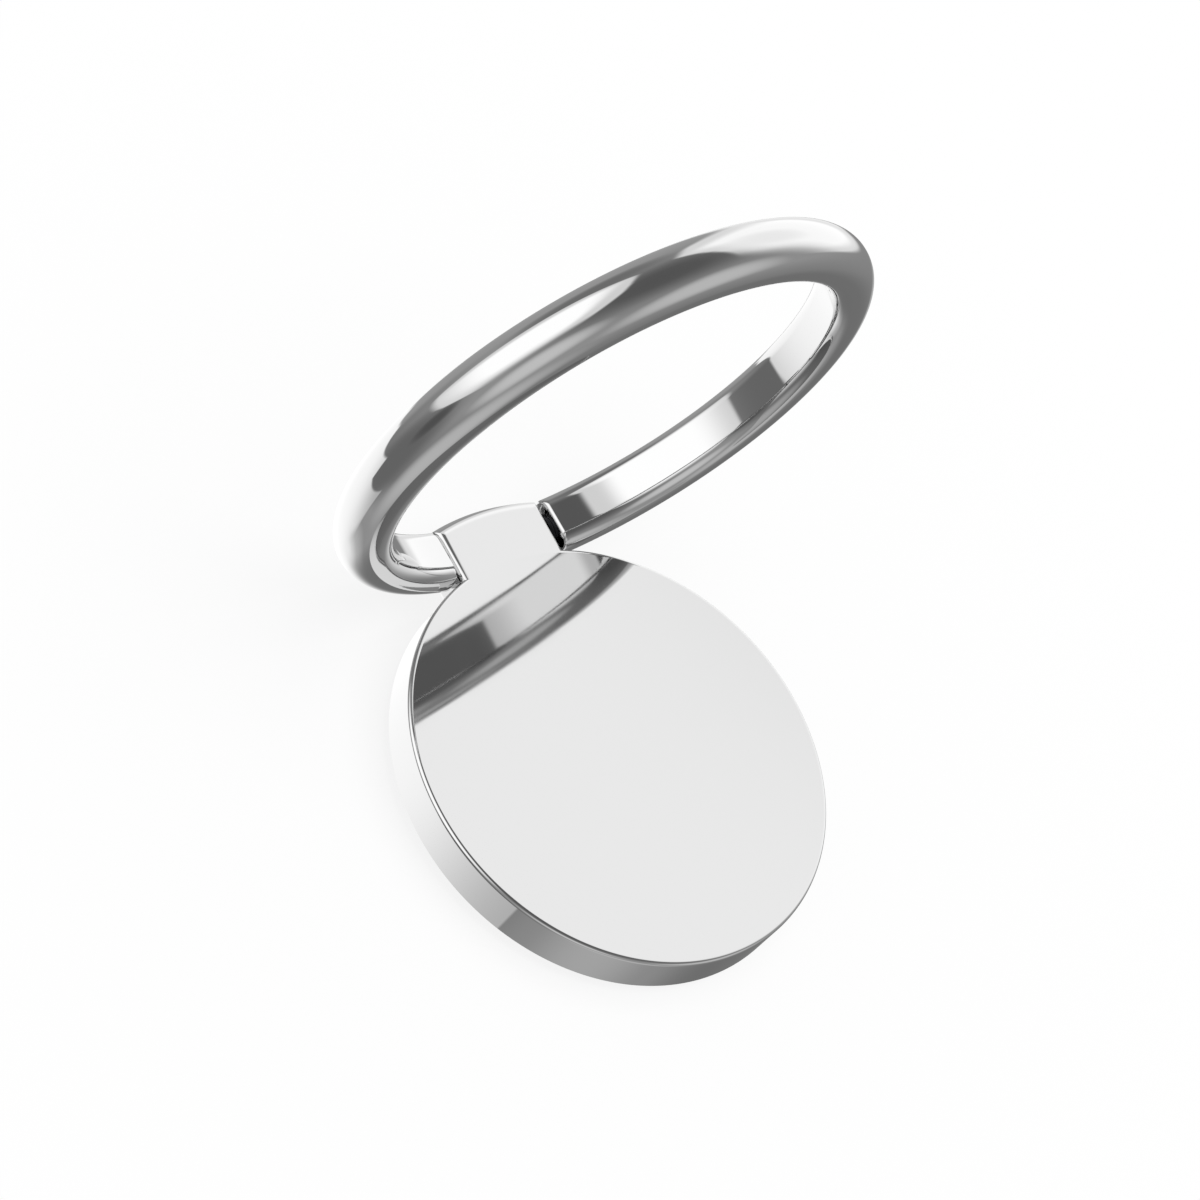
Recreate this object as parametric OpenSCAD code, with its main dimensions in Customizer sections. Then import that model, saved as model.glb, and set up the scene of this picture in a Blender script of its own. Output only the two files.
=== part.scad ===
// Finger ring stand: a polished swivel disc with a hinged C-shaped ring round it,
// carried on a stick-on steel base. Millimetres, +Z out of the disc's face,
// origin at the centre of the adhesive's underside, hinge axis along X.

/* [Disc] */
// Diameter of the disc across its side wall
disc_d = 28; // [24:0.5:36]
// Thickness of the disc from its open back to its face
disc_t = 3.1; // [2.9:0.05:4]
// Thickness of the metal under the face
roof_t = 1; // [0.8:0.05:1.2]
// Thickness of the side wall round the base plate
rim_wall = 1.3; // [1:0.05:1.8]
// Radius of the edge between face and side wall
face_edge_r = 0.25; // [0.1:0.05:0.4]
// Chamfer on the back edge of the side wall
back_chamfer = 0.15; // [0.05:0.05:0.3]

/* [Hinge tab] */
// Width of the tab along the hinge axis
tab_w = 8; // [6:0.25:10]
// How far the tab reaches past the side wall
tab_reach = 3.6; // [3.2:0.1:4.4]
// Radius that rolls the tab's outer end over
tab_tip_r = 0.8; // [0.4:0.05:1.2]
// Radius along the tab's two side edges
tab_side_r = 0.5; // [0.2:0.05:0.7]

/* [Ring] */
// Gap between the side wall and the folded ring
ring_gap = 0.6; // [0.5:0.05:1.2]
// Thickness of the ring from its bore to the top of its dome
ring_h = 3; // [2.8:0.05:3.6]
// Width of the ring along its own axis
ring_w = 3.55; // [3:0.05:4]
// Radius of the two edges beside the flat inner band
ring_edge_r = 0.7; // [0.3:0.05:0.8]

/* [Hinge] */
// Distance of the hinge axis outside the side wall
hinge_out = 1.3; // [1.1:0.05:1.6]
// Height of the hinge axis above the disc's back
hinge_h = 1.7; // [1.5:0.05:1.8]
// How much further the ring's centre swings than the disc's centre
ring_offset = 0.3; // [0.2:0.05:0.5]
// Diameter of the hinge pin
pin_d = 1.3; // [1:0.05:1.5]
// Depth of the pin's seat in each end of the ring
pin_grip = 1.8; // [1.2:0.1:2]
// Wall of the friction bush round the pin
bush_wall = 0.2; // [0.15:0.05:0.3]
// Outer diameter of the washers between tab and ring ends
hinge_washer_d = 2.3; // [2.1:0.05:2.6]
// Thickness of those washers
hinge_washer_t = 0.28; // [0.2:0.02:0.5]

/* [Base] */
// Thickness of the adhesive pad
adhesive_t = 0.5; // [0.3:0.05:1]
// Thickness of the base plate's sheet
plate_t = 0.6; // [0.4:0.05:0.7]
// How far the base plate stands out of the disc's back
plate_proud = 0.3; // [0.2:0.05:0.4]
// How far the adhesive pad stays inside the plate's edge
adhesive_inset = 0.3; // [0.1:0.05:1]
// Radius of the plate's flat raised centre, underneath
dish_r = 3.2; // [3:0.05:3.6]
// Width of the slope round the raised centre
dish_slope_w = 0.9; // [0.6:0.05:1.2]
// Thickness of the glide ring between plate and disc
glide_t = 0.25; // [0.2:0.05:0.4]
// Width of the glide ring's band
glide_w = 1.8; // [1.2:0.1:2.4]

/* [Swivel] */
// Diameter of the rivet's shoulder, which the plate turns round
shank_d = 3; // [2.4:0.1:3.2]
// Diameter of the rivet's end, pressed into the disc's boss
spigot_d = 2.2; // [1.8:0.1:2.2]
// How far the rivet's end reaches into the metal under the face
spigot_bite = 0.4; // [0.2:0.05:0.5]
// Diameter of the rivet's head
head_d = 5.2; // [4.8:0.1:5.6]
// Thickness of the rivet's head
head_t = 0.4; // [0.3:0.05:0.45]
// Height of the conical spring washer as fitted
spring_h = 0.4; // [0.3:0.05:0.45]
// Thickness of the spring washer's sheet
spring_t = 0.15; // [0.1:0.01:0.2]
// Thickness of the thrust washer under the boss
thrust_t = 0.2; // [0.15:0.05:0.25]
// Diameter of the boss under the face
boss_d = 6; // [5:0.1:6.4]
// Thickness of the steel plate that magnets hold
steel_t = 0.8; // [0.5:0.05:1]

/* [Clearances] */
// Play between the hinge pin and its bush, on the radius
pin_play = 0.03; // [0.02:0.01:0.06]
// Play between a hinge washer and the ring's end
end_play = 0.02; // [0.01:0.01:0.05]
// Room that the swinging ring keeps from the side wall
swing_room = 0.2; // [0.15:0.05:0.3]
// Play between the rivet's shoulder and the plate, on the radius
shank_play = 0.05; // [0.03:0.01:0.1]
// Gap round the base plate, on the radius
plate_gap = 0.3; // [0.2:0.05:0.5]
// Gap between the rivet's head and the adhesive pad
head_gap = 0.1; // [0.05:0.05:0.2]
// Gap round inner pieces that lie loose in a recess
inner_gap = 0.2; // [0.1:0.05:0.3]

/* [Hidden] */
$fn = 120;
// Length by which a cutting shape runs past the face that it opens
over = 1;

// Heights, from the surface that the adhesive sticks to
plate_z = adhesive_t;
plate_top_z = plate_z + plate_t;
disc_z = adhesive_t + plate_proud;
face_z = disc_z + disc_t;
roof_z = face_z - roof_t;
seat_z = plate_top_z + glide_t;
head_z = adhesive_t + head_gap;
spring_z = head_z + head_t;
dish_z = spring_z + spring_h;
dish_top_z = dish_z + plate_t;
boss_z = dish_top_z + thrust_t;
spigot_top_z = roof_z + spigot_bite;
hinge_z = disc_z + hinge_h;

// Radii about the disc's axis
disc_r = disc_d / 2;
recess_r = disc_r - rim_wall;
plate_r = recess_r - plate_gap;
glide_r = plate_r - inner_gap;
pocket_r = glide_r - glide_w - inner_gap / 2;
steel_r = pocket_r - inner_gap;
shank_r = shank_d / 2;
plate_hole_r = shank_r + shank_play;
washer_hole_r = shank_r + inner_gap / 2;
spring_r = head_d / 2 - inner_gap / 2;
boss_r = boss_d / 2;
// Sideways shift of the slope's upper line that keeps the sheet one thickness
dish_shift = plate_t * tan(atan((dish_z - plate_z) / dish_slope_w) / 2);
dish_foot_r = dish_r + dish_slope_w + dish_shift;
steel_hole_r = dish_foot_r + 2 * inner_gap;
tab_tip = disc_r + tab_reach;
tab_root = (recess_r + disc_r) / 2;

// Hinge and ring
hinge_y = disc_r + hinge_out;
ring_r = disc_r + ring_gap;
ring_centre_z = hinge_z + hinge_y + ring_offset;
ring_arm = hinge_y + ring_offset;
dome_r = ring_w / 2;
dome_x = ring_r + ring_h - dome_r;
pin_r = pin_d / 2;
bush_r = pin_r + pin_play + bush_wall;
pin_hole_r = pin_r + pin_play;
ring_end_x = tab_w / 2 + hinge_washer_t + end_play;
pin_seat_x = ring_end_x + pin_grip;
pin_end_gap = 0.1;
pin_chamfer = 0.1;

// Distance from the hinge axis to the ring's farthest inner corner, x along that axis
function inner_reach(x) =
    norm([ring_arm - sqrt(ring_r * ring_r - x * x) - ring_edge_r, dome_r - ring_edge_r])
    + ring_edge_r;

// Stations of the relief in the side wall, from the tab out to where it has run out
relief_step = 0.5;
relief_x = [for (x = [tab_w / 2 : relief_step : ring_r / sqrt(2)]) x];

// Half section of the disc, turned round Z
module disc_section() {
    difference() {
        union() {
            translate([0, disc_z])
                square([disc_r - face_edge_r, disc_t]);
            translate([0, disc_z])
                square([disc_r, disc_t - face_edge_r]);
            translate([disc_r - face_edge_r, face_z - face_edge_r])
                circle(r = face_edge_r);
        }
        // Recess for the base plate and the glide ring
        translate([0, disc_z - over])
            square([recess_r, seat_z - disc_z + over]);
        // Pocket for the steel plate, round the boss
        translate([boss_r, seat_z - over])
            square([pocket_r - boss_r, roof_z - seat_z + over]);
        // Space below the boss
        translate([0, seat_z - over])
            square([boss_r + over, boss_z - seat_z + over]);
        // Blind hole for the rivet's end
        translate([0, boss_z - over])
            square([spigot_d / 2, spigot_top_z - boss_z + over]);
        // Chamfer on the back edge
        translate([disc_r, disc_z])
            rotate(45)
                square(back_chamfer * sqrt(2), center = true);
    }
}

// Half section of the tab, whose outer end follows the folded ring
module tab_section() {
    translate([tab_root, disc_z])
        square([tab_tip - tab_tip_r - tab_root, disc_t]);
    translate([tab_root, disc_z + tab_tip_r])
        square([tab_tip - tab_root, disc_t - 2 * tab_tip_r]);
    for (z = [disc_z + tab_tip_r, face_z - tab_tip_r])
        translate([tab_tip - tab_tip_r, z])
            circle(r = tab_tip_r);
}

// Bar along Y with the tab's rounded side edges
module tab_bar() {
    inner_w = tab_w - 2 * tab_side_r;
    inner_t = disc_t - 2 * tab_side_r;
    translate([0, tab_tip + over, disc_z + disc_t / 2])
        rotate([90, 0, 0])
            linear_extrude(tab_tip + over) {
                square([inner_w, disc_t], center = true);
                square([tab_w, inner_t], center = true);
                for (x = [-1, 1], z = [-1, 1])
                    translate([x * inner_w / 2, z * inner_t / 2])
                        circle(r = tab_side_r);
            }
}

module tab() {
    intersection() {
        rotate_extrude()
            tab_section();
        tab_bar();
    }
}

// Room beside the tab for the ring's ends as they swing, turned round the hinge axis
module swing_relief() {
    along_hinge()
        rotate_extrude()
            polygon(concat(
                [[0, relief_x[0]]],
                [for (x = relief_x) [inner_reach(x) + swing_room, x]],
                [[0, relief_x[len(relief_x) - 1]]]
            ));
}

module along_hinge() {
    translate([0, hinge_y, hinge_z])
        rotate([0, 90, 0])
            children();
}

module swivel_disc() {
    color("#d8d9db")
    difference() {
        union() {
            difference() {
                rotate_extrude()
                    disc_section();
                swing_relief();
                mirror([1, 0, 0])
                    swing_relief();
            }
            tab();
        }
        along_hinge()
            cylinder(r = bush_r, h = tab_w + 2 * over, center = true);
    }
}

module adhesive_pad() {
    color("#3a3b3d")
    cylinder(r = plate_r - adhesive_inset, h = adhesive_t);
}

// Pressed from sheet, with a raised centre that leaves room for the rivet's head
module base_plate() {
    color("#b9bbbe")
    rotate_extrude()
        polygon([
            [plate_hole_r, dish_z],
            [dish_r, dish_z],
            [dish_r + dish_slope_w, plate_z],
            [plate_r, plate_z],
            [plate_r, plate_top_z],
            [dish_foot_r, plate_top_z],
            [dish_r + dish_shift, dish_top_z],
            [plate_hole_r, dish_top_z]
        ]);
}

module glide_ring() {
    color("#f0efe9")
    rotate_extrude()
        translate([glide_r - glide_w, plate_top_z])
            square([glide_w, glide_t]);
}

module swivel_rivet() {
    color("#c4c6c9")
    union() {
        translate([0, 0, head_z])
            cylinder(d = head_d, h = head_t);
        translate([0, 0, head_z])
            cylinder(r = shank_r, h = boss_z - head_z);
        translate([0, 0, head_z])
            cylinder(d = spigot_d, h = spigot_top_z - head_z - pin_end_gap);
    }
}

// Cone of thin sheet: its inner edge lifts the plate, its outer edge sits on the rivet's head
module spring_washer() {
    color("#8f9296")
    rotate_extrude()
        polygon([
            [washer_hole_r, dish_z],
            [washer_hole_r, dish_z - spring_t],
            [spring_r, spring_z],
            [spring_r, spring_z + spring_t]
        ]);
}

module thrust_washer() {
    color("#f0efe9")
    rotate_extrude()
        translate([washer_hole_r, dish_top_z])
            square([boss_r - washer_hole_r, thrust_t]);
}

module steel_plate() {
    color("#9a9da1")
    rotate_extrude()
        translate([steel_hole_r, roof_z - steel_t])
            square([steel_r - steel_hole_r, steel_t]);
}

module hinge_bush() {
    color("#e6e3d8")
    along_hinge()
        difference() {
            cylinder(r = bush_r, h = tab_w, center = true);
            cylinder(r = pin_hole_r, h = tab_w + 2 * over, center = true);
        }
}

module hinge_washer(side) {
    translate([side * (tab_w + hinge_washer_t) / 2, 0, 0])
        along_hinge()
            difference() {
                cylinder(d = hinge_washer_d, h = hinge_washer_t, center = true);
                cylinder(r = pin_hole_r, h = hinge_washer_t + 2 * over, center = true);
            }
}

module hinge_washer_left() {
    color("#c9ccd0")
    hinge_washer(-1);
}

module hinge_washer_right() {
    color("#c9ccd0")
    hinge_washer(1);
}

module hinge_pin() {
    half_l = pin_seat_x - pin_end_gap;
    color("#b4b7bb")
    along_hinge()
        rotate_extrude()
            polygon([
                [0, -half_l],
                [pin_r - pin_chamfer, -half_l],
                [pin_r, pin_chamfer - half_l],
                [pin_r, half_l - pin_chamfer],
                [pin_r - pin_chamfer, half_l],
                [0, half_l]
            ]);
}

// Section of the ring: a flat inner band with rounded edges under a half-round dome
module ring_section() {
    band_w = ring_w - 2 * ring_edge_r;
    difference() {
        translate([dome_x, 0])
            circle(r = dome_r);
        translate([0, -ring_w])
            square([dome_x, 2 * ring_w]);
    }
    translate([ring_r, -band_w / 2])
        square([dome_x - ring_r, band_w]);
    translate([ring_r + ring_edge_r, -dome_r])
        square([dome_x - ring_r - ring_edge_r, ring_w]);
    for (z = [-1, 1])
        translate([ring_r + ring_edge_r, z * band_w / 2])
            circle(r = ring_edge_r);
}

// One turn of the section with a mouth for the tab and a blind pin seat in each end
module finger_ring() {
    outer_r = ring_r + ring_h;
    color("#cfd1d4")
    difference() {
        translate([0, hinge_y, ring_centre_z])
            difference() {
                rotate([90, 0, 0])
                    rotate_extrude()
                        ring_section();
                translate([-ring_end_x, -ring_w, -outer_r - over])
                    cube([2 * ring_end_x, 2 * ring_w, outer_r + over]);
            }
        along_hinge()
            cylinder(r = pin_r, h = 2 * pin_seat_x, center = true);
    }
}

adhesive_pad();
base_plate();
glide_ring();
swivel_rivet();
spring_washer();
thrust_washer();
steel_plate();
swivel_disc();
hinge_bush();
hinge_washer_left();
hinge_washer_right();
hinge_pin();
finger_ring();
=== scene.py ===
import math

import bmesh
import bpy
from mathutils import Matrix, Quaternion, Vector


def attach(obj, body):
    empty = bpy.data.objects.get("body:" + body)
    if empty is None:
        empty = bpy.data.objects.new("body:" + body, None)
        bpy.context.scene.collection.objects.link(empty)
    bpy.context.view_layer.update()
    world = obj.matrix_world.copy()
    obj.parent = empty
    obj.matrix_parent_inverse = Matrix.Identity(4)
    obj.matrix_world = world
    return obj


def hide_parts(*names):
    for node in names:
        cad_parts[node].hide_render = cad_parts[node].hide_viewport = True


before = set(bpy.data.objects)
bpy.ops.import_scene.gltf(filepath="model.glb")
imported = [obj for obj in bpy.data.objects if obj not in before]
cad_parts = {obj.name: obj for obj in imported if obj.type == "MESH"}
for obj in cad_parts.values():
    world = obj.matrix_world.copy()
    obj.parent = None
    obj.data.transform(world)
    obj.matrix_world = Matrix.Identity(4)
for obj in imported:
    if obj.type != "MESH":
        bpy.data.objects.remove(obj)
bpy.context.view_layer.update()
print("frame loaded")

mm = 0.001  # the frame is in metres, the sizes below are in millimetres
nearby = 1e-4 * mm  # points this close are one point
noiseSpan = {"From Min": 0.3, "From Max": 0.7}  # where most of a noise texture's values lie
scene = bpy.context.scene
scene.view_settings.view_transform = "Standard"


def linearColour(hexText):
    # sRGB hex to the linear colour that a shader socket takes
    parts = [int(hexText[i:i + 2], 16) / 255 for i in (1, 3, 5)]
    return [p / 12.92 if p <= 0.04045 else ((p + 0.055) / 1.055) ** 2.4 for p in parts] + [1]


def addNode(tree, kind, settings=None, inputs=None, stops=None):
    # adds one node, sets it, fills its sockets with values or links, and gives a ramp its stops
    node = tree.nodes.new("ShaderNode" + kind)
    for name, value in (settings or {}).items():
        setattr(node, name, value)
    for name, value in (inputs or {}).items():
        if isinstance(value, bpy.types.NodeSocket):
            tree.links.new(value, node.inputs[name])
        else:
            node.inputs[name].default_value = value
    for place, colour in stops or []:
        if place <= 0:
            stop = node.color_ramp.elements[0]
        elif place >= 1:
            stop = node.color_ramp.elements[-1]
        else:
            stop = node.color_ramp.elements.new(place)
        stop.color = linearColour(colour)
    return node


def patternScale(sizeMm):
    # a texture's scale for features of that size, on object coordinates in metres
    return 1 / (sizeMm * mm)


cameraPlace = {
    "position": (-134.94, -49.23, 170.52),
    "aim": (2.54, 8.76, 6.01),
    "roll": 42.3,  # degrees that the camera leans, as in the photograph
    "lens": 110.69,  # on a 36 mm sensor
    "nearest": 10,
}

cameraData = bpy.data.cameras.new("camera")
cameraData.lens = cameraPlace["lens"]
cameraData.clip_start = cameraPlace["nearest"] * mm
camera = bpy.data.objects.new("camera", cameraData)
scene.collection.objects.link(camera)
camera.location = Vector(cameraPlace["position"]) * mm
lookAlong = (Vector(cameraPlace["aim"]) - Vector(cameraPlace["position"])).to_track_quat("-Z", "Y")
lean = Quaternion((0, 0, 1), math.radians(cameraPlace["roll"]))
camera.rotation_mode = "QUATERNION"
camera.rotation_quaternion = lookAlong @ lean
scene.camera = camera
print("camera placed")


# What the polished metal mirrors: plain surroundings by elevation, and over them soft
# pools and straight-edged cards of light and dark. Azimuth from +X and elevation in degrees.
# A light is its name, its corners, their softness and its colour. One corner makes a round
# pool, with the radii where it starts and ends fading; more corners make a card, with the
# softness of the edge that leaves each one. A list in place of a colour is a card with a
# light of its own on it.
tableTone = ["#ABABAB", ("tableLit", [(100, -55)], [2, 64], "#F3F3F3")]
leftTone = ["#CECECE", ("leftBoxLit", [(94, 48), (118, 61), (150, 63), (176, 63), (192, 56),
                        (188, 20), (176, 8), (132, -2)], [12, 14, 16, 16, 22, 24, 26, 12], "#FEFEFE")]
studio = {
    "white": "#FFFFFF",  # straight behind the object
    "plainLevel": "#C4C4C4",  # lights matt surfaces from all round
    "mirroredStrength": 1.54,  # the cards are lit boxes, so chrome mirrors them near white
    "surroundings": [
        (-90, "#E4E4E4"), (-84, "#D2D2D2"), (-76, "#ACACAC"), (-66, "#8A8A8A"),
        (-58, "#8E8E8E"), (-50, "#848484"), (-40, "#727272"), (-30, "#767676"),
        (-15, "#808080"), (0, "#8C8C8C"), (20, "#8A8A8A"), (40, "#7C7C7C"),
        (50, "#6E6E6E"), (60, "#616161"), (72, "#545454"), (90, "#525252"),
    ],
    "lights": [
        ("lowMiddle", [(75, -25)], [18, 42], "#919191"),
        ("leftGlow", [(238, 18)], [3, 28], "#BCBCBC"),
        ("rightGlow", [(298, 15)], [3, 28], "#B4B4B4"),
        ("lowGlow", [(262, -31)], [3, 32], "#AEAEAE"),
        ("darkLeft", [(182, -28)], [12, 44], "#626262"),
        ("darkSpot", [(182, -8)], [2, 16], "#4E4E4E"),
        ("darkRight", [(345, -54)], [4, 30], "#666666"),
        ("darkSlit", [(94, 22)], [6, 28], "#6A6A6A"),
        ("lowPatch", [(12, -40)], [3, 10], "#989898"),
        ("table", [(20, -50), (45, -42), (80, -36.5), (110, -32), (160, -34.5), (172, -62),
                   (200, -80), (350, -74)], [2, 2, 2, 2, 2, 6, 20, 20], tableTone),
        ("tableEnd", [(150, -46), (165, -46), (216, -47), (222, -66), (210, -82), (150, -80)],
         [2, 2, 1, 10, 20, 4], tableTone),
        ("leftBox", [(89, 50), (102, 63), (120, 72), (150, 73.5), (180, 72.5), (207, 64), (207, 50),
                     (198, 20), (188, 1), (163, -5.5), (137, -19), (119, 0), (102, 26)],
         [5, 6, 5, 5, 8, 14, 20, 18, 5, 2, 6, 4, 4], leftTone),
        ("rightBox", [(334, 48), (352, 60), (35, 61), (70, 49), (66, 25), (47, -20), (20, -24),
                      (4, -15), (340, -2)], [16, 5, 5, 5, 4, 3, 4, 8, 22], "#D4D4D4"),
        ("rightCorner", [(22, -21), (47, -20), (39, -38), (31, -38)], [1, 4, 3, 4], "#D4D4D4"),
        ("rightBoxLit", [(348, 45), (60, 45), (56, 25), (43, -14), (12, -12), (348, 5)],
         [16, 12, 10, 10, 10, 20], "#F6F6F6"),
        ("boxShade", [(18, 38)], [0, 24], "#E8E8E8"),
    ],
}


def heading(azimuth, elevation):
    a, e = math.radians(azimuth), math.radians(elevation)
    return Vector((math.cos(e) * math.cos(a), math.cos(e) * math.sin(a), math.sin(e)))


def lightMask(tree, direction, corners, softness):
    # 1 inside the pool or card, 0 outside; a card's edge is a plane through the scene's middle
    points = [heading(*corner) for corner in corners]
    if len(points) == 1:
        even, faded = [math.cos(math.radians(radius)) for radius in softness]
        near = addNode(tree, "VectorMath", {"operation": "DOT_PRODUCT"}, {0: direction, 1: points[0]})
        return addNode(tree, "MapRange", {"interpolation_type": "SMOOTHSTEP"},
                       {"Value": near.outputs["Value"], "From Min": faded,
                        "From Max": even}).outputs["Result"]
    middle = sum(points, Vector())
    mask = None
    for start, end, soft in zip(points, points[1:] + points[:1], softness):
        normal = start.cross(end).normalized()
        if normal.dot(middle) < 0:
            normal.negate()
        width = math.sin(math.radians(soft / 2))
        side = addNode(tree, "VectorMath", {"operation": "DOT_PRODUCT"}, {0: direction, 1: normal})
        edge = addNode(tree, "MapRange", {"interpolation_type": "SMOOTHSTEP"},
                       {"Value": side.outputs["Value"], "From Min": -width, "From Max": width})
        if mask is None:
            mask = edge.outputs["Result"]
        else:
            mask = addNode(tree, "Math", {"operation": "MULTIPLY"},
                           {0: mask, 1: edge.outputs["Result"]}).outputs["Value"]
    return mask


def mirroredLook(tree, direction, look, lights):
    # lays each light over what is there already
    for name, corners, softness, colour in lights:
        mask = lightMask(tree, direction, corners, softness)
        if isinstance(colour, list):
            colour = mirroredLook(tree, direction, linearColour(colour[0]), colour[1:])
        else:
            colour = linearColour(colour)
        look = addNode(tree, "Mix", {"data_type": "RGBA", "label": name},
                       {0: mask, 6: look, 7: colour}).outputs[2]
    return look


world = bpy.data.worlds.new("studio")
scene.world = world
world.use_nodes = True
tree = world.node_tree
tree.nodes.clear()
direction = addNode(tree, "TexCoord").outputs["Generated"]
height = addNode(tree, "SeparateXYZ", None, {"Vector": direction}).outputs["Z"]
place = addNode(tree, "MapRange", None, {"Value": height, "From Min": -1}).outputs["Result"]
look = addNode(tree, "ValToRGB", None, {"Fac": place}, stops=[
    ((math.sin(math.radians(elevation)) + 1) / 2, colour)
    for elevation, colour in studio["surroundings"]]).outputs["Color"]
look = mirroredLook(tree, direction, look, studio["lights"])
ray = addNode(tree, "LightPath")
plain = addNode(tree, "Background", None, {"Color": linearColour(studio["plainLevel"])})
mirrored = addNode(tree, "Background", None,
                   {"Color": look, "Strength": studio["mirroredStrength"]})
behind = addNode(tree, "Background", None, {"Color": linearColour(studio["white"])})
lit = addNode(tree, "MixShader", None, {0: ray.outputs["Is Glossy Ray"],
              1: plain.outputs[0], 2: mirrored.outputs[0]})
seen = addNode(tree, "MixShader", None, {0: ray.outputs["Is Camera Ray"],
               1: lit.outputs[0], 2: behind.outputs[0]})
addNode(tree, "OutputWorld", None, {"Surface": seen.outputs[0]})

lamps = {
    # name: place in mm, size in mm, watts
    "topLamp": ((60, -40, 420), 380, 1.2),
}
for name, (position, size, watts) in lamps.items():
    data = bpy.data.lights.new(name, "AREA")
    data.size = size * mm
    data.energy = watts
    lamp = bpy.data.objects.new(name, data)
    scene.collection.objects.link(lamp)
    lamp.location = Vector(position) * mm
    lamp.rotation_euler = (-lamp.location).to_track_quat("-Z", "Y").to_euler()
    lamp.visible_glossy = False  # the metal mirrors the studio's cards, not the lamp
print("studio lit")

floorSheet = {
    "side": 4000, "height": -0.05,
    "colour": "#F2F2F2", "white": 0.85,  # the share of plain white that the camera sees mixed in
    "fadeFrom": 20, "fadeTo": 70,  # and nothing but white from there on
}

bm = bmesh.new()
bmesh.ops.create_grid(bm, x_segments=1, y_segments=1, size=floorSheet["side"] * mm / 2)
bmesh.ops.translate(bm, vec=(0, 0, floorSheet["height"] * mm), verts=bm.verts)
floorMesh = bpy.data.meshes.new("floor")
bm.to_mesh(floorMesh)
bm.free()
floor = bpy.data.objects.new("floor", floorMesh)
scene.collection.objects.link(floor)
floor.visible_glossy = False
paper = bpy.data.materials.new("paperSweep")
paper.use_nodes = True
tree = paper.node_tree
tree.nodes.clear()
matt = addNode(tree, "BsdfDiffuse", None, {"Color": linearColour(floorSheet["colour"])})
glow = addNode(tree, "Emission", None, {"Color": linearColour(studio["white"]), "Strength": 1.0})
ray = addNode(tree, "LightPath")
place = addNode(tree, "TexCoord").outputs["Object"]
away = addNode(tree, "VectorMath", {"operation": "LENGTH"}, {0: place}).outputs["Value"]
white = addNode(tree, "MapRange", {"interpolation_type": "SMOOTHSTEP"}, {
    "Value": away, "From Min": floorSheet["fadeFrom"] * mm, "From Max": floorSheet["fadeTo"] * mm,
    "To Min": floorSheet["white"]})
share = addNode(tree, "Math", {"operation": "MULTIPLY"},
                {0: ray.outputs["Is Camera Ray"], 1: white.outputs["Result"]})
sheet = addNode(tree, "MixShader", None, {0: share.outputs[0], 1: matt.outputs[0], 2: glow.outputs[0]})
under = addNode(tree, "NewGeometry").outputs["Backfacing"]  # clear from below, to look at the pad
clear = addNode(tree, "BsdfTransparent")
sheet = addNode(tree, "MixShader", None, {0: under, 1: sheet.outputs[0], 2: clear.outputs[0]})
addNode(tree, "OutputMaterial", None, {"Surface": sheet.outputs[0]})
floorMesh.materials.append(paper)
print("floor laid")


def newMaterial(name, inputs):
    # a material with one shader, its sockets filled with values that are the same all over
    material = bpy.data.materials.new(name)
    material.use_nodes = True
    tree = material.node_tree
    tree.nodes.clear()
    shader = addNode(tree, "BsdfPrincipled", None, inputs)
    addNode(tree, "OutputMaterial", None, {"Surface": shader.outputs[0]})
    return material, tree, shader


def linkLook(tree, shader, colour=None, roughness=None, height=None):
    # joins a pattern's colour, roughness and height in metres to the shader
    if colour:
        tree.links.new(colour, shader.inputs["Base Color"])
    if roughness:
        tree.links.new(roughness, shader.inputs["Roughness"])
    if height:
        bump = addNode(tree, "Bump", None, {"Height": height, "Strength": 1.0, "Distance": 1.0})
        tree.links.new(bump.outputs["Normal"], shader.inputs["Normal"])


# Zinc casting, buffed and chrome plated: a grey-white mirror, faintly uneven from the
# buffing wheel, satin on the back that the wheel never reached
chrome = {
    "colour": "#D3D3D3",
    "roughest": 0.045, "smoothest": 0.025, "smearMm": 5,  # handling leaves it a touch uneven
    "waveMm": 3.2, "waveDepthMm": 0.0009,  # left by the buffing wheel
    "backTopMm": 0.9, "backBlendMm": 0.1, "backRoughness": 0.24, "grainMm": 0.16, "grainDepthMm": 0.0012,
}


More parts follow.
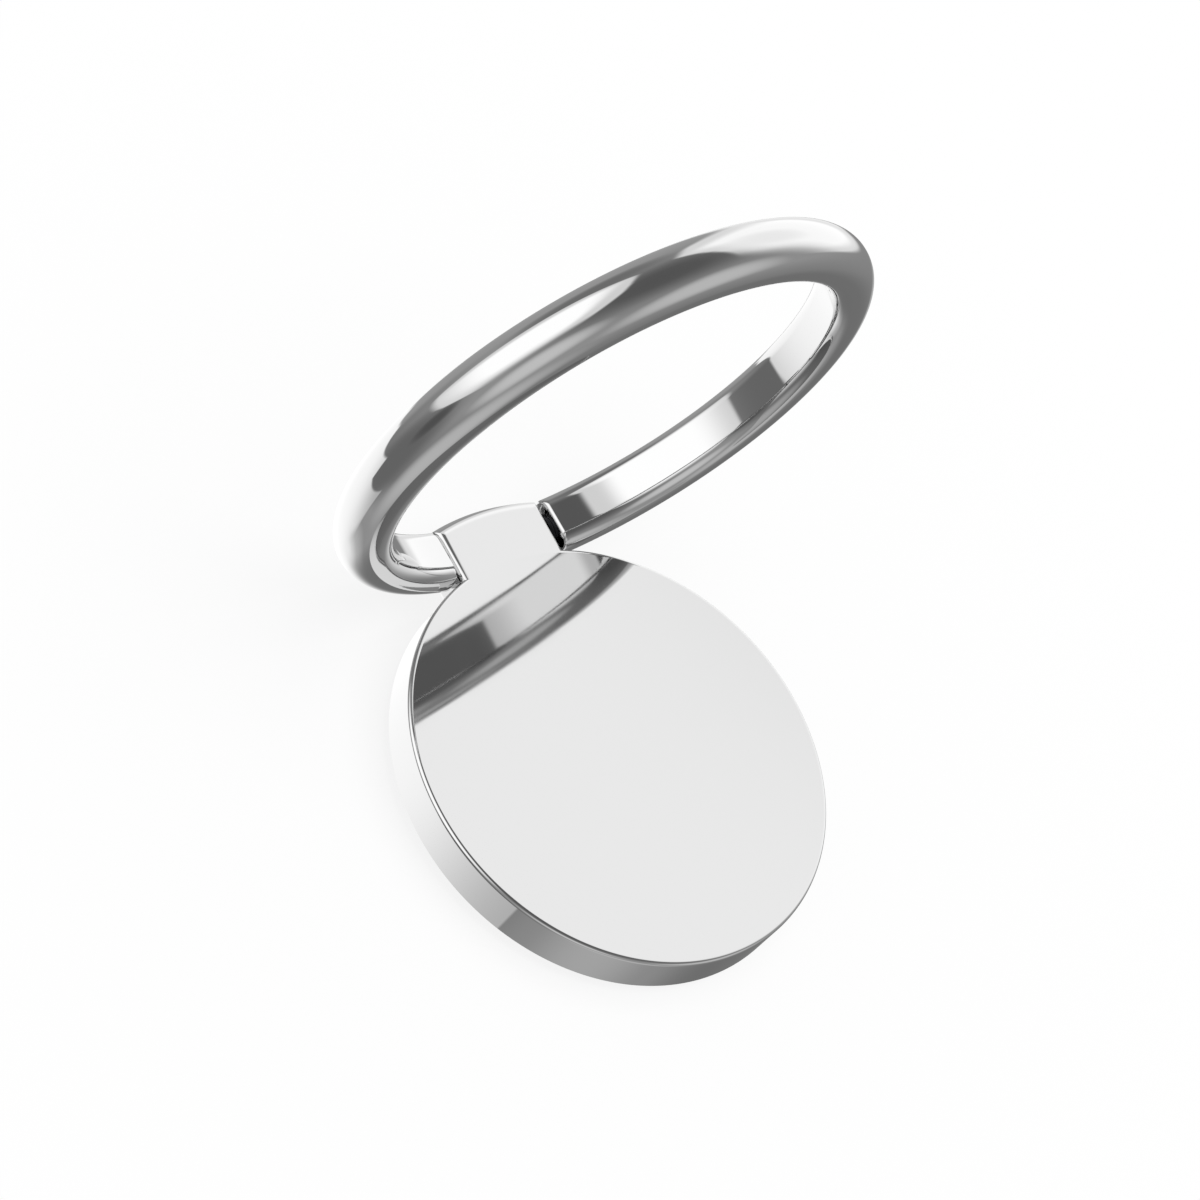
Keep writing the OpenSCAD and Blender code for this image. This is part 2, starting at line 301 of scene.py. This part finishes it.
def polishedChrome(name, satinBack):
    material, tree, shader = newMaterial(name, {
        "Base Color": linearColour(chrome["colour"]), "Metallic": 1.0})
    place = addNode(tree, "TexCoord").outputs["Object"]
    smear = addNode(tree, "TexNoise", None, {
        "Vector": place, "Scale": patternScale(chrome["smearMm"]), "Detail": 3.0})
    roughness = addNode(tree, "MapRange", None, {
        "Value": smear.outputs["Fac"], **noiseSpan,
        "To Min": chrome["smoothest"], "To Max": chrome["roughest"]}).outputs["Result"]
    wave = addNode(tree, "TexNoise", None, {
        "Vector": place, "Scale": patternScale(chrome["waveMm"]), "Detail": 0.0})
    height = addNode(tree, "Math", {"operation": "MULTIPLY"}, {
        0: wave.outputs["Fac"], 1: chrome["waveDepthMm"] * mm}).outputs["Value"]
    if satinBack:
        back = addNode(tree, "MapRange", {"interpolation_type": "SMOOTHSTEP"}, {
            "Value": addNode(tree, "SeparateXYZ", None, {"Vector": place}).outputs["Z"],
            "From Min": (chrome["backTopMm"] + chrome["backBlendMm"]) * mm,
            "From Max": chrome["backTopMm"] * mm}).outputs["Result"]
        roughness = addNode(tree, "Mix", None, {
            0: back, 2: roughness, 3: chrome["backRoughness"]}).outputs[0]
        grain = addNode(tree, "TexNoise", None, {
            "Vector": place, "Scale": patternScale(chrome["grainMm"]), "Detail": 2.0})
        pitted = addNode(tree, "Math", {"operation": "MULTIPLY"}, {
            0: grain.outputs["Fac"], 1: back})
        height = addNode(tree, "Math", {"operation": "MULTIPLY_ADD"}, {
            0: pitted.outputs["Value"], 1: chrome["grainDepthMm"] * mm,
            2: height}).outputs["Value"]
    linkLook(tree, shader, roughness=roughness, height=height)
    return material


# Cold-rolled steel sheet, punched and zinc plated: a bluish satin metal with fine
# streaks along the way it was rolled
zincSheet = {
    "light": "#BDC2C7", "dark": "#A6A9AC", "cloudMm": 3.5,
    "streakMm": (0.14, 7, 0.14),  # wider than real rolling marks, so that they show
    "smoothest": 0.24, "roughest": 0.40, "streakDepthMm": 0.0012,
}


def zincPlatedSheet(name):
    material, tree, shader = newMaterial(name, {"Metallic": 1.0})
    place = addNode(tree, "TexCoord").outputs["Object"]
    drawn = addNode(tree, "Mapping", None, {
        "Vector": place, "Scale": [patternScale(size) for size in zincSheet["streakMm"]]})
    streaks = addNode(tree, "TexNoise", None, {
        "Vector": drawn.outputs["Vector"], "Scale": 1.0, "Detail": 2.0}).outputs["Fac"]
    cloud = addNode(tree, "TexNoise", None, {
        "Vector": place, "Scale": patternScale(zincSheet["cloudMm"]), "Detail": 4.0})
    colour = addNode(tree, "ValToRGB", None, {"Fac": cloud.outputs["Fac"]}, stops=[
        (0, zincSheet["light"]), (1, zincSheet["dark"])])
    roughness = addNode(tree, "MapRange", None, {
        "Value": streaks, **noiseSpan,
        "To Min": zincSheet["smoothest"], "To Max": zincSheet["roughest"]})
    height = addNode(tree, "Math", {"operation": "MULTIPLY"}, {
        0: streaks, 1: zincSheet["streakDepthMm"] * mm})
    linkLook(tree, shader, colour.outputs["Color"], roughness.outputs["Result"],
             height.outputs["Value"])
    return material


# Free-cutting steel turned on an automatic lathe: fine feed marks run round the shank and ring the ends.
# The bright tone is the steel's own; the dark tone is painted shade, standing in for the shade in the
# gap beside the tab.
turnedSteel = {
    "feedMm": 0.12, "feedDepthMm": 0.0008, "mottleMm": 0.9,
    "bright": {"light": "#C3C5C8", "dark": "#A9ABAE", "smoothest": 0.2, "roughest": 0.32},
    # painted shade: a near-black tone that stands in for the shade in the narrow gap beside the tab
    "paintedGapShade": {"light": "#3A3B3E", "dark": "#222325", "smoothest": 0.38, "roughest": 0.52},
}


def turnedPart(name, finish, centre, turn):
    # centre in mm and turn in degrees bring the pattern's Z onto the piece's own axis
    material, tree, shader = newMaterial(name, {"Metallic": 1.0})
    tones = turnedSteel[finish]
    place = addNode(tree, "TexCoord").outputs["Object"]
    own = addNode(tree, "Mapping", {"vector_type": "TEXTURE"}, {
        "Vector": place, "Location": Vector(centre) * mm,
        "Rotation": [math.radians(angle) for angle in turn]}).outputs["Vector"]
    level = addNode(tree, "VectorMath", {"operation": "MULTIPLY"}, {0: own, 1: (1, 1, 0)})
    radius = addNode(tree, "VectorMath", {"operation": "LENGTH"}, {0: level.outputs["Vector"]})
    along = addNode(tree, "SeparateXYZ", None, {"Vector": own})
    travel = addNode(tree, "Math", {"operation": "ADD"}, {
        0: radius.outputs["Value"], 1: along.outputs["Z"]})
    phase = addNode(tree, "Math", {"operation": "MULTIPLY"}, {
        0: travel.outputs["Value"], 1: 2 * math.pi * patternScale(turnedSteel["feedMm"])})
    marks = addNode(tree, "Math", {"operation": "SINE"}, {0: phase.outputs["Value"]})
    mottle = addNode(tree, "TexNoise", None, {
        "Vector": own, "Scale": patternScale(turnedSteel["mottleMm"]), "Detail": 3.0})
    colour = addNode(tree, "ValToRGB", None, {"Fac": mottle.outputs["Fac"]}, stops=[
        (0, tones["light"]), (1, tones["dark"])])
    roughness = addNode(tree, "MapRange", None, {
        "Value": mottle.outputs["Fac"], **noiseSpan,
        "To Min": tones["smoothest"], "To Max": tones["roughest"]})
    height = addNode(tree, "Math", {"operation": "MULTIPLY"}, {
        0: marks.outputs["Value"], 1: turnedSteel["feedDepthMm"] * mm})
    linkLook(tree, shader, colour.outputs["Color"], roughness.outputs["Result"],
             height.outputs["Value"])
    return material


# Spring steel strip, hardened and tempered: warm grey, drifting to blue where the
# tempering heat held longer
springStrip = {
    "straw": "#837C70", "plain": "#75746F", "blue": "#5E636D",
    "heatMm": 4, "scaleMm": 0.2, "scaleDepthMm": 0.0015,
    "smoothest": 0.28, "roughest": 0.42,
}


def temperedSpringSteel(name):
    material, tree, shader = newMaterial(name, {"Metallic": 1.0})
    place = addNode(tree, "TexCoord").outputs["Object"]
    heat = addNode(tree, "TexNoise", None, {
        "Vector": place, "Scale": patternScale(springStrip["heatMm"]), "Detail": 1.0})
    colour = addNode(tree, "ValToRGB", None, {"Fac": heat.outputs["Fac"]}, stops=[
        (0, springStrip["straw"]), (0.5, springStrip["plain"]), (1, springStrip["blue"])])
    scale = addNode(tree, "TexNoise", None, {
        "Vector": place, "Scale": patternScale(springStrip["scaleMm"]), "Detail": 3.0})
    roughness = addNode(tree, "MapRange", None, {
        "Value": scale.outputs["Fac"], **noiseSpan,
        "To Min": springStrip["smoothest"], "To Max": springStrip["roughest"]})
    height = addNode(tree, "Math", {"operation": "MULTIPLY"}, {
        0: scale.outputs["Fac"], 1: springStrip["scaleDepthMm"] * mm})
    linkLook(tree, shader, colour.outputs["Color"], roughness.outputs["Result"],
             height.outputs["Value"])
    return material


# Acetal, injection moulded in its natural colour: milky white, waxy, with the fine
# matt grain of a spark-eroded mould
acetal = {
    "light": "#EEEBE2", "dark": "#E3DFD5", "flowMm": 5,
    "grainMm": 0.12, "grainDepthMm": 0.0015, "smoothest": 0.32, "roughest": 0.45,
    "index": 1.48, "glowShare": 0.15, "glowMm": (1.0, 0.9, 0.8),
}


def mouldedAcetal(name):
    material, tree, shader = newMaterial(name, {
        "IOR": acetal["index"], "Subsurface Weight": acetal["glowShare"],
        "Subsurface Radius": acetal["glowMm"], "Subsurface Scale": mm})
    place = addNode(tree, "TexCoord").outputs["Object"]
    flow = addNode(tree, "TexNoise", None, {
        "Vector": place, "Scale": patternScale(acetal["flowMm"]), "Detail": 2.0})
    colour = addNode(tree, "ValToRGB", None, {"Fac": flow.outputs["Fac"]}, stops=[
        (0, acetal["light"]), (1, acetal["dark"])])
    grain = addNode(tree, "TexNoise", None, {
        "Vector": place, "Scale": patternScale(acetal["grainMm"]), "Detail": 2.0})
    roughness = addNode(tree, "MapRange", None, {
        "Value": grain.outputs["Fac"], **noiseSpan,
        "To Min": acetal["smoothest"], "To Max": acetal["roughest"]})
    height = addNode(tree, "Math", {"operation": "MULTIPLY"}, {
        0: grain.outputs["Fac"], 1: acetal["grainDepthMm"] * mm})
    linkLook(tree, shader, colour.outputs["Color"], roughness.outputs["Result"],
             height.outputs["Value"])
    return material


# Closed-cell acrylic foam tape, die-cut: soft charcoal grey, open cells along the cut
# edge and a tacky, slightly shiny film of adhesive underneath
foamTape = {
    "light": "#3E3E41", "dark": "#29292B", "cellMm": 0.22, "cellDepthMm": 0.02,
    "cutRoughness": 0.85, "filmRoughness": 0.38, "filmDepthShare": 0.12,
}


def acrylicFoamTape(name):
    material, tree, shader = newMaterial(name, {})
    place = addNode(tree, "TexCoord")
    cells = addNode(tree, "TexVoronoi", {"feature": "F1"}, {
        "Vector": place.outputs["Object"], "Scale": patternScale(foamTape["cellMm"])})
    colour = addNode(tree, "ValToRGB", None, {"Fac": cells.outputs["Distance"]}, stops=[
        (0, foamTape["dark"]), (1, foamTape["light"])])
    facing = addNode(tree, "SeparateXYZ", None, {"Vector": place.outputs["Normal"]})
    film = addNode(tree, "Math", {"operation": "ABSOLUTE"}, {0: facing.outputs["Z"]})
    roughness = addNode(tree, "MapRange", None, {
        "Value": film.outputs["Value"], "To Min": foamTape["cutRoughness"],
        "To Max": foamTape["filmRoughness"]})
    depth = addNode(tree, "MapRange", None, {
        "Value": film.outputs["Value"], "To Min": foamTape["cellDepthMm"] * mm,
        "To Max": foamTape["cellDepthMm"] * foamTape["filmDepthShare"] * mm})
    height = addNode(tree, "Math", {"operation": "MULTIPLY"}, {
        0: cells.outputs["Distance"], 1: depth.outputs["Result"]})
    linkLook(tree, shader, colour.outputs["Color"], roughness.outputs["Result"],
             height.outputs["Value"])
    return material


def roundedSection(bm, corners, toWorld):
    # a flat face whose corners are rounded: each corner is (u, v, radius, segments)
    verts = [bm.verts.new(toWorld(u, v)) for u, v, radius, segments in corners]
    bm.faces.new(verts)
    for vert, (u, v, radius, segments) in zip(verts, corners):
        if radius:
            bmesh.ops.bevel(bm, geom=[vert], offset=radius * mm, offset_type="OFFSET",
                            affect="VERTICES", segments=segments, profile=0.5, material=-1)
    bmesh.ops.remove_doubles(bm, verts=bm.verts, dist=nearby)
    bmesh.ops.delete(bm, geom=bm.faces, context="FACES_ONLY")


def makePiece(bm, name):
    bmesh.ops.remove_doubles(bm, verts=bm.verts, dist=nearby)
    bmesh.ops.recalc_face_normals(bm, faces=bm.faces)
    mesh = bpy.data.meshes.new(name)
    bm.to_mesh(mesh)
    bm.free()
    piece = bpy.data.objects.new(name, mesh)
    scene.collection.objects.link(piece)
    return piece


ring = {
    "bore": 14.6, "height": 3.0, "width": 3.55, "edgeRadius": 0.9,
    "endX": 4.3,  # where the mouth's end faces stand, from the middle
    "endEdge": 0.16, "endSteps": 4, "pinRadius": 0.65, "pinDepth": 1.8,
    "hinge": (15.3, 2.5),  # y and z of the hinge axis
    "centreZ": 18.1,
    "stepsHalf": 128, "stepsDome": 24, "stepsEdge": 10, "stepsPin": 48,
    "sharpAngle": 30,
}


def buildRing():
    hingeY, hingeZ = ring["hinge"]
    centre = Vector((0, hingeY, ring["centreZ"])) * mm
    inner, outer, side = ring["bore"], ring["bore"] + ring["height"], ring["width"] / 2
    bm = bmesh.new()
    roundedSection(bm, [
        (inner, -side, ring["edgeRadius"], ring["stepsEdge"]),
        (outer, -side, side, ring["stepsDome"]),
        (outer, side, side, ring["stepsDome"]),
        (inner, side, ring["edgeRadius"], ring["stepsEdge"]),
    ], lambda u, v: centre + Vector((0, v, -u)) * mm)
    bmesh.ops.spin(bm, geom=bm.verts[:] + bm.edges[:], cent=centre, axis=(0, -1, 0),
                   angle=math.pi, steps=ring["stepsHalf"])
    bmesh.ops.remove_doubles(bm, verts=bm.verts, dist=nearby)

    # the mouth, cut through the lower half alone, with a rounded end and a blind seat for the pin
    lower = [f for f in bm.faces if f.calc_center_median().z < centre.z]
    lower += list(set(e for f in lower for e in f.edges)) + list(set(v for f in lower for v in f.verts))
    endX = ring["endX"] * mm
    bmesh.ops.bisect_plane(bm, geom=lower, plane_co=(endX, 0, 0), plane_no=(1, 0, 0),
                           clear_inner=True)
    rim = [e for e in bm.edges if all(abs(v.co.x - endX) < 1e-3 * mm for v in e.verts)]
    cap = bmesh.ops.contextual_create(bm, geom=rim)["faces"][0]
    bmesh.ops.bevel(bm, geom=cap.edges[:], offset=ring["endEdge"] * mm, offset_type="OFFSET",
                    affect="EDGES", segments=ring["endSteps"], profile=0.5, material=-1)
    cap = max(bm.faces, key=lambda f: len(f.verts))
    rim = cap.edges[:]
    bmesh.ops.delete(bm, geom=[cap], context="FACES_ONLY")
    seat = bmesh.ops.create_circle(
        bm, radius=ring["pinRadius"] * mm, segments=ring["stepsPin"],
        matrix=Matrix.Translation(Vector((ring["endX"], hingeY, hingeZ)) * mm)
        @ Matrix.Rotation(math.pi / 2, 4, "Y"))
    mouth = list(set(e for v in seat["verts"] for e in v.link_edges))
    bmesh.ops.triangle_fill(bm, edges=rim + mouth, use_beauty=True)
    deep = bmesh.ops.extrude_edge_only(bm, edges=mouth)["geom"]
    bmesh.ops.translate(bm, vec=(ring["pinDepth"] * mm, 0, 0),
                        verts=[g for g in deep if isinstance(g, bmesh.types.BMVert)])
    bmesh.ops.contextual_create(bm, geom=[g for g in deep if isinstance(g, bmesh.types.BMEdge)
                                          and len(g.link_faces) == 1])
    bmesh.ops.mirror(bm, geom=bm.verts[:] + bm.edges[:] + bm.faces[:], axis="X",
                     merge_dist=1e-3 * mm)
    return makePiece(bm, "polishedRing")


disc = {
    "radius": 14, "back": 0.8, "face": 3.9, "faceEdge": 0.25, "backChamfer": 0.15,
    "recessRadius": 12.7, "seatZ": 1.35, "pocketRadius": 10.3, "roofZ": 2.9,
    "bossRadius": 3, "bossZ": 2.2, "spigotRadius": 1.1, "spigotTop": 3.3,
    "tabWidth": 8, "tabReach": 17.6, "tabTip": 0.8, "tabSide": 0.5, "tabRoot": 13.35,
    "tabHalfAngle": 20,  # wider than the tab, which a bar cuts to its width
    "bushRadius": 0.88,
    "swingEdge": 0.7, "swingRoom": 0.2, "swingStep": 0.25,  # room for the ring's ends beside the tab
    "hollowRadius": 222, "hollowRim": 15.2, "hollowBlend": 1.2,  # the face is pressed slightly hollow
    "hollowFrom": 3.4, "hollowFull": 3.65,  # heights between which the press takes hold
    "faceRings": [0.5 * n for n in range(28)] + [13.72],  # points across the flat that is pressed
    "tabRings": [14 + 0.4 * n for n in range(7)],
    "stepsRound": 288, "stepsEdge": 8, "stepsTab": 48, "stepsTip": 12, "stepsSide": 10,
    "stepsSwing": 144, "stepsBush": 96,
    "sharpAngle": 30,
}


def cutWith(target, tool, operation):
    # joins, cuts or keeps the common part of two pieces, and removes the tool
    modifier = target.modifiers.new("cut", "BOOLEAN")
    modifier.operation = operation
    modifier.object = tool
    modifier.solver = "EXACT"
    depsgraph = bpy.context.evaluated_depsgraph_get()
    mesh = bpy.data.meshes.new_from_object(target.evaluated_get(depsgraph))
    target.modifiers.clear()
    target.data = mesh
    bpy.data.objects.remove(tool)
    return target


def turnedSection(u, v):
    # the plane that is turned about the swivel axis
    return Vector((0, u, v)) * mm


def turnBody():
    # the disc with the recess, pocket and boss in its back
    top, back = disc["face"], disc["back"]
    bm = bmesh.new()
    roundedSection(bm, [
        *[(radius, top, 0, 0) for radius in disc["faceRings"]],
        (disc["radius"], top, disc["faceEdge"], disc["stepsEdge"]),
        (disc["radius"], back, disc["backChamfer"], 1), (disc["recessRadius"], back, 0, 0),
        (disc["recessRadius"], disc["seatZ"], 0, 0), (disc["pocketRadius"], disc["seatZ"], 0, 0),
        (disc["pocketRadius"], disc["roofZ"], 0, 0), (disc["bossRadius"], disc["roofZ"], 0, 0),
        (disc["bossRadius"], disc["bossZ"], 0, 0), (disc["spigotRadius"], disc["bossZ"], 0, 0),
        (disc["spigotRadius"], disc["spigotTop"], 0, 0), (0, disc["spigotTop"], 0, 0),
    ], turnedSection)
    axis = [e for e in bm.edges if all(v.co.y < 1e-3 * mm for v in e.verts)]
    bmesh.ops.delete(bm, geom=axis, context="EDGES")
    bmesh.ops.spin(bm, geom=bm.verts[:] + bm.edges[:], cent=(0, 0, 0), axis=(0, 0, 1),
                   angle=2 * math.pi, steps=disc["stepsRound"], use_merge=True)
    return makePiece(bm, "polishedDisc")


def turnRelief():
    # what the ring's ends sweep beside the tab, turned about the hinge axis
    hingeY, hingeZ = ring["hinge"]
    arm = ring["centreZ"] - hingeZ
    bore, edge, half = ring["bore"], disc["swingEdge"], ring["width"] / 2
    x, points = disc["tabWidth"] / 2, []
    while x < bore / math.sqrt(2):
        reach = math.hypot(arm - math.sqrt(bore ** 2 - x ** 2) - edge, half - edge) + edge
        points.append((x, reach + disc["swingRoom"]))
        x += disc["swingStep"]
    points = [(points[0][0], 0)] + points + [(points[-1][0], 0)]
    bm = bmesh.new()
    line = [bm.verts.new(Vector((x, hingeY - reach, hingeZ)) * mm) for x, reach in points]
    for start, end in zip(line, line[1:]):
        bm.edges.new((start, end))
    bmesh.ops.spin(bm, geom=bm.verts[:] + bm.edges[:], cent=Vector((0, hingeY, hingeZ)) * mm,
                   axis=(1, 0, 0), angle=2 * math.pi, steps=disc["stepsSwing"], use_merge=True)
    bmesh.ops.mirror(bm, geom=bm.verts[:] + bm.edges[:] + bm.faces[:], axis="X", merge_dist=-1)
    return makePiece(bm, "relief")


def turnTab():
    # turned about the swivel axis, then cut to its width by a bar with rounded edges
    top, back = disc["face"], disc["back"]
    bm = bmesh.new()
    roundedSection(bm, [
        (disc["tabRoot"], top, 0, 0), *[(radius, top, 0, 0) for radius in disc["tabRings"]],
        (disc["tabReach"], top, disc["tabTip"], disc["stepsTip"]),
        (disc["tabReach"], back, disc["tabTip"], disc["stepsTip"]), (disc["tabRoot"], back, 0, 0),
    ], turnedSection)
    bmesh.ops.contextual_create(bm, geom=bm.edges[:])
    halfAngle = math.radians(disc["tabHalfAngle"])
    bmesh.ops.rotate(bm, verts=bm.verts, cent=(0, 0, 0), matrix=Matrix.Rotation(-halfAngle, 3, "Z"))
    bmesh.ops.spin(bm, geom=bm.verts[:] + bm.edges[:] + bm.faces[:], cent=(0, 0, 0), axis=(0, 0, 1),
                   angle=2 * halfAngle, steps=disc["stepsTab"])
    tab = makePiece(bm, "tab")
    length = disc["tabReach"] + 1
    bm = bmesh.new()
    bmesh.ops.create_cube(bm, size=1)
    bmesh.ops.scale(bm, vec=Vector((disc["tabWidth"], length, top - back)) * mm, verts=bm.verts)
    bmesh.ops.translate(bm, vec=Vector((0, length / 2, (top + back) / 2)) * mm, verts=bm.verts)
    long = [e for e in bm.edges if abs(e.verts[0].co.y - e.verts[1].co.y) > 1 * mm]
    bmesh.ops.bevel(bm, geom=long, offset=disc["tabSide"] * mm, offset_type="OFFSET",
                    affect="EDGES", segments=disc["stepsSide"], profile=0.5, material=-1)
    return cutWith(tab, makePiece(bm, "bar"), "INTERSECT")


def makeBore():
    # the hole across the tab that the bush sits in
    bm = bmesh.new()
    bmesh.ops.create_cone(bm, cap_ends=True, segments=disc["stepsBush"],
                          radius1=disc["bushRadius"] * mm, radius2=disc["bushRadius"] * mm,
                          depth=(disc["tabWidth"] + 2) * mm,
                          matrix=Matrix.Translation(Vector((0, *ring["hinge"])) * mm)
                          @ Matrix.Rotation(math.pi / 2, 4, "Y"))
    return makePiece(bm, "bore")


def pressHollow(piece):
    # presses the face down by a shallow bowl that blends out towards the tab
    rim, blend = disc["hollowRim"] * mm, disc["hollowBlend"] * mm
    for vert in piece.data.vertices:
        radius = math.hypot(vert.co.x, vert.co.y)
        near = max(blend - abs(radius - rim), 0) / blend
        inside = min(radius, rim) - near ** 3 * blend / 6
        depth = (rim ** 2 - inside ** 2) / (2 * disc["hollowRadius"] * mm)
        share = (vert.co.z / mm - disc["hollowFrom"]) / (disc["hollowFull"] - disc["hollowFrom"])
        vert.co.z -= depth * min(max(share, 0), 1)


def buildDisc():
    body = turnBody()
    cutWith(body, turnRelief(), "DIFFERENCE")
    cutWith(body, turnTab(), "UNION")
    cutWith(body, makeBore(), "DIFFERENCE")
    pressHollow(body)
    return body


def dress(piece, material, sharpAngle):
    # smooth faces with crisp edges, flats kept flat, and one material
    piece.data.shade_smooth()
    piece.data.set_sharp_from_angle(angle=math.radians(sharpAngle))
    piece.data.materials.clear()
    piece.data.materials.append(material)
    normals = piece.modifiers.new("flatFaces", "WEIGHTED_NORMAL")
    normals.keep_sharp = True


ringPiece = buildRing()
dress(ringPiece, polishedChrome("chromedRing", False), ring["sharpAngle"])
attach(ringPiece, "ring")
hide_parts("finger_ring")
print("ring built", len(ringPiece.data.polygons))

discPiece = buildDisc()
dress(discPiece, polishedChrome("chromedDisc", True), disc["sharpAngle"])
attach(discPiece, "disc")
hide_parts("swivel_disc")
print("disc built", len(discPiece.data.polygons))

# the pieces that keep their modelled shape, by the material that each is made of
hingeAxis = ((0, *ring["hinge"]), (0, 90, 0))
finishes = {
    acrylicFoamTape("acrylicFoamTape"): ["adhesive_pad"],
    zincPlatedSheet("zincPlatedSheet"): ["base_plate", "steel_plate"],
    turnedPart("turnedRivet", "bright", (0, 0, 0), (0, 0, 0)): ["swivel_rivet"],
    turnedPart("turnedPin", "bright", *hingeAxis): ["hinge_pin"],
    # the hinge washers get the dark tone as painted shade of the gap between the tab and the ring's ends
    turnedPart("washerPaintedGapShade", "paintedGapShade", *hingeAxis): ["hinge_washer_left", "hinge_washer_right"],
    temperedSpringSteel("temperedSpringSteel"): ["spring_washer"],
    mouldedAcetal("mouldedAcetal"): ["glide_ring", "thrust_washer", "hinge_bush"],
}
for material, names in finishes.items():
    for name in names:
        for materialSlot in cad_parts[name].material_slots:
            materialSlot.material = material
print("inner pieces finished")
